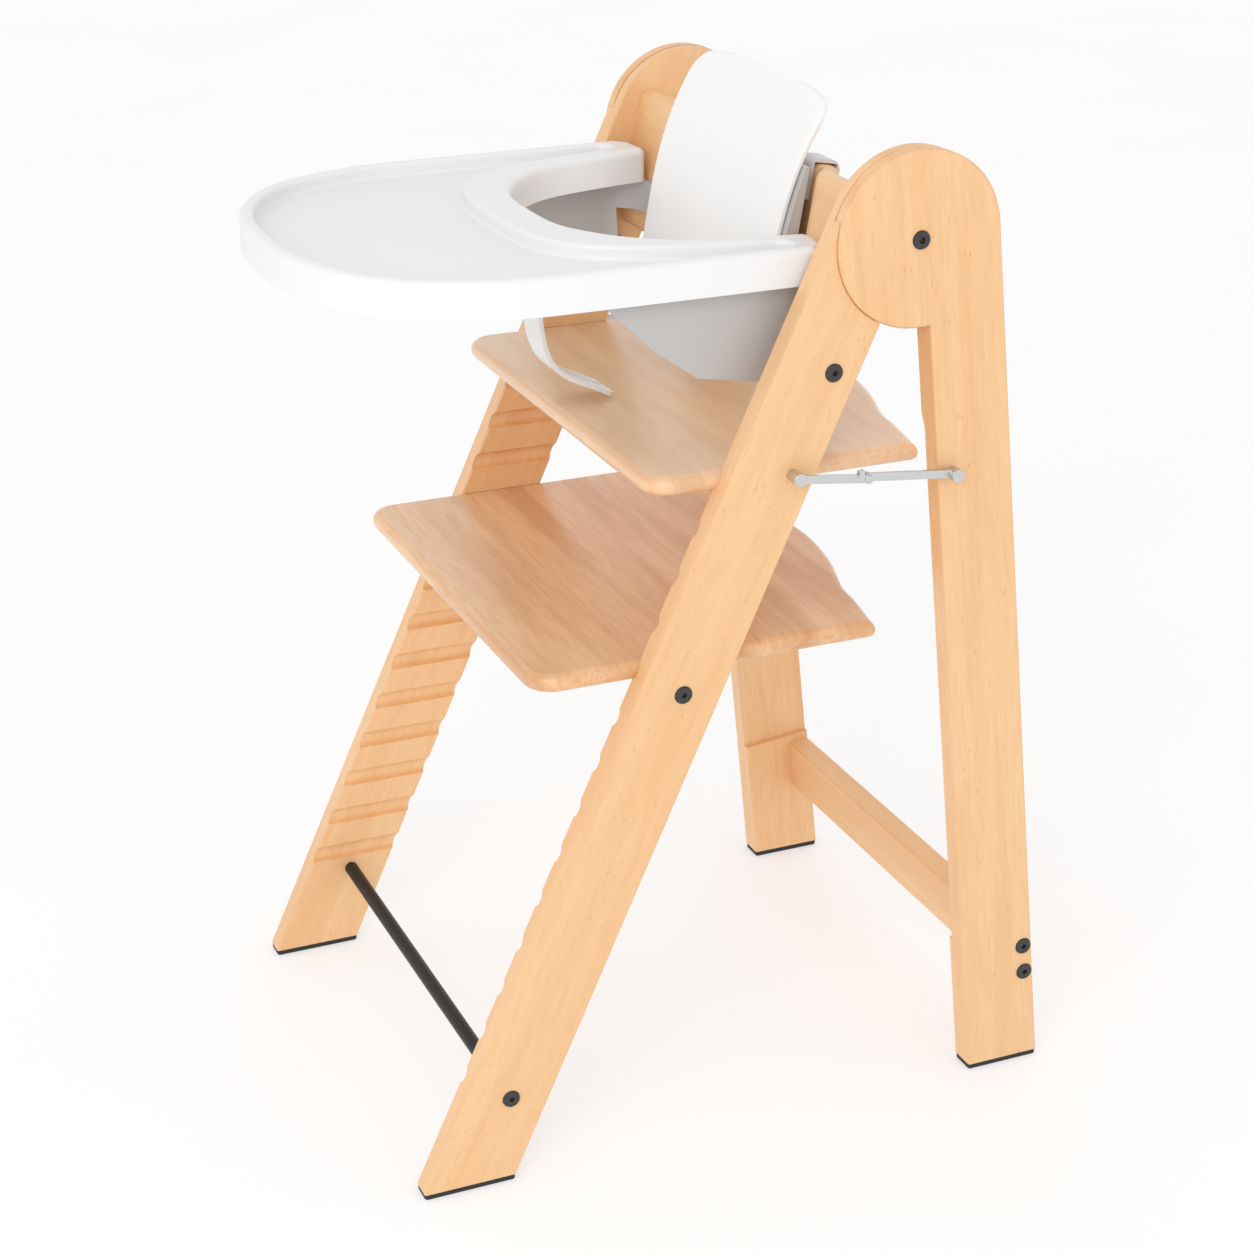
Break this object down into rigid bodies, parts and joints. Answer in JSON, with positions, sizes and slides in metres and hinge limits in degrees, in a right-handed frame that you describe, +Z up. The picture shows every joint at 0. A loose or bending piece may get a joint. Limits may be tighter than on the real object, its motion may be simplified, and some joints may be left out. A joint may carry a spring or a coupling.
{
  "type": "baby high chair",
  "caption": "Folding wooden baby high chair: slanted coved front legs, hinged rear legs, sliding seat and foot boards, plastic tray, grey side shell, curved backrest.",
  "frame": {"origin": "on the floor, under the middle of the chair's bounding box", "axes": "+Z up, -Y towards the front where the child faces, +X to the chair's right as seen from the front"},
  "size_m": [0.463, 0.5886, 0.8206],
  "materials": {
    "beech_frame": "satin",
    "beech_board": "satin",
    "white_plastic": "satin",
    "grey_plastic": "matt",
    "frosted_plastic": "frosted",
    "black_steel": "satin black",
    "black_rubber": "matt",
    "bright_steel": "brushed",
    "zinc_steel": "zinc plated",
    "nylon": "matt"
  },
  "bodies": {
    "front_frame": {"front_leg_left": "beech_frame", "front_leg_right": "beech_frame", "front_feet": "black_rubber", "front_rod": "black_steel", "upper_tie_rod": "black_steel", "lower_tie_rod": "black_steel", "frame_bolts": "black_steel", "back_board": "beech_frame", "back_board_screws": "zinc_steel", "pivot_bolts": "black_steel", "pivot_washers": "nylon", "pivot_nuts": "zinc_steel", "side_shell": "grey_plastic", "hook_clips": "grey_plastic", "backrest_shell": "white_plastic", "backrest_screws": "zinc_steel", "stay_front_pins": "bright_steel"},
    "rear_frame": {"rear_leg_left": "beech_frame", "rear_leg_right": "beech_frame", "rear_feet": "black_rubber", "rear_crossbar": "beech_frame", "crossbar_bolts": "black_steel", "barrel_nuts": "zinc_steel", "stay_rear_pins": "bright_steel"},
    "seat_slide": {"seat_board": "beech_board"},
    "foot_slide": {"foot_board": "beech_board"},
    "tray_unit": {"tray": "white_plastic", "tray_catches": "grey_plastic", "strap_pin": "bright_steel"},
    "strap_unit": {"crotch_strap": "frosted_plastic"},
    "stay_front_left": {"stay_front_link_left": "bright_steel", "stay_front_rivet_left": "bright_steel"},
    "stay_front_right": {"stay_front_link_right": "bright_steel", "stay_front_rivet_right": "bright_steel"},
    "stay_rear_left": {"stay_rear_link_left": "bright_steel", "stay_rear_rivet_left": "bright_steel"},
    "stay_rear_right": {"stay_rear_link_right": "bright_steel", "stay_rear_rivet_right": "bright_steel"}
  },
  "joints": [
    {"name": "fold", "type": "hinge", "parent": "front_frame", "child": "rear_frame", "pos_m": [0, 0.1458, 0.7329], "axis": [-1, 0, 0], "range_deg": [0, 30]},
    {"name": "seat_depth", "type": "slide", "parent": "front_frame", "child": "seat_slide", "axis": [0, -1, 0], "range_m": [-0.02, 0.03]},
    {"name": "foot_depth", "type": "slide", "parent": "front_frame", "child": "foot_slide", "axis": [0, -1, 0], "range_m": [-0.03, 0.03]},
    {"name": "tray_slide", "type": "slide", "parent": "front_frame", "child": "tray_unit", "axis": [0, -1, 0], "range_m": [0, 0.06]},
    {"name": "strap_swing", "type": "hinge", "parent": "tray_unit", "child": "strap_unit", "pos_m": [0, -0.0852, 0.706], "axis": [1, 0, 0], "range_deg": [0, 22]},
    {"name": "stay_front_left_hinge", "type": "hinge", "parent": "front_frame", "child": "stay_front_left", "pos_m": [-0.225, 0.0467, 0.5638], "axis": [1, 0, 0], "range_deg": [0, 98]},
    {"name": "stay_rear_left_hinge", "type": "hinge", "parent": "rear_frame", "child": "stay_rear_left", "pos_m": [-0.225, 0.1809, 0.5484], "axis": [-1, 0, 0], "range_deg": [0, 24.8]},
    {"name": "stay_front_right_hinge", "type": "hinge", "parent": "front_frame", "child": "stay_front_right", "pos_m": [0.225, 0.0467, 0.5638], "axis": [1, 0, 0], "range_deg": [0, 98]},
    {"name": "stay_rear_right_hinge", "type": "hinge", "parent": "rear_frame", "child": "stay_rear_right", "pos_m": [0.225, 0.1809, 0.5484], "axis": [-1, 0, 0], "range_deg": [0, 24.8]}
  ],
  "couplings": [
    {"joint": "stay_front_left_hinge", "follows": "fold", "ratio": 3.2573},
    {"joint": "stay_rear_left_hinge", "follows": "fold", "ratio": 0.8176},
    {"joint": "stay_front_right_hinge", "follows": "fold", "ratio": 3.2573},
    {"joint": "stay_rear_right_hinge", "follows": "fold", "ratio": 0.8176}
  ]
}
